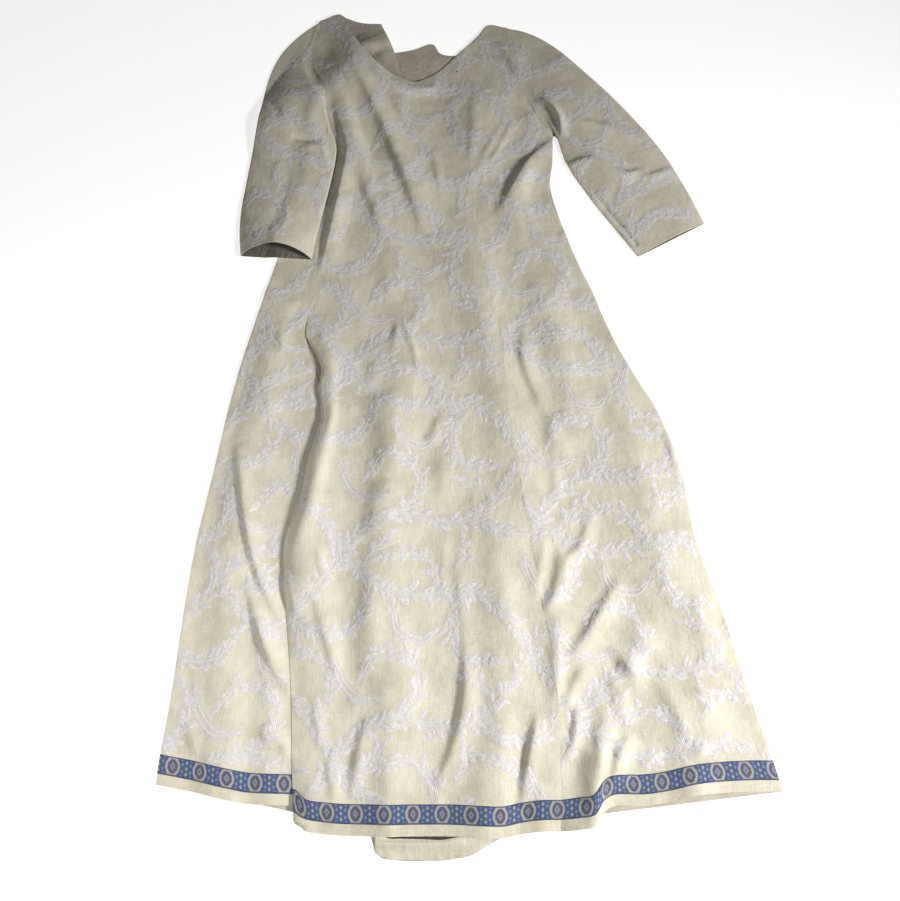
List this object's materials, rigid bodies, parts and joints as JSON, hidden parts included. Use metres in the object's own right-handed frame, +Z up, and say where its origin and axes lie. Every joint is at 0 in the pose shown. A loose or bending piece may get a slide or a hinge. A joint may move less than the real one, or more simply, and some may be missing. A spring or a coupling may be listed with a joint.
{
  "type": "peasant dress",
  "caption": "Long A-line linen dress with princess seams, below-elbow sleeves, a scooped neck and a woven hem ribbon, laid flat on its back to rest on a surface.",
  "frame": {"origin": "bottom centre of the dress's box, on the surface that it lies on", "axes": "+Y from the hem to the neck, +X to the right of a viewer who looks at the front, +Z up out of the surface"},
  "size_m": [0.9152, 1.4724, 0.0283],
  "materials": {
    "linen": "matte",
    "ribbon": "satin",
    "linen_inside": "matte"
  },
  "bodies": {
    "root": {"front_centre": "linen", "front_side_left": "linen", "front_side_right": "linen", "back_left": "linen", "back_right": "linen", "sleeve_left": "linen", "sleeve_right": "linen", "hem_ribbon_left": "ribbon", "hem_ribbon_centre": "ribbon", "hem_ribbon_right": "ribbon", "hem_ribbon_back": "ribbon", "hem_turnup_back": "linen_inside", "placket_back": "linen_inside"}
  },
  "joints": []
}
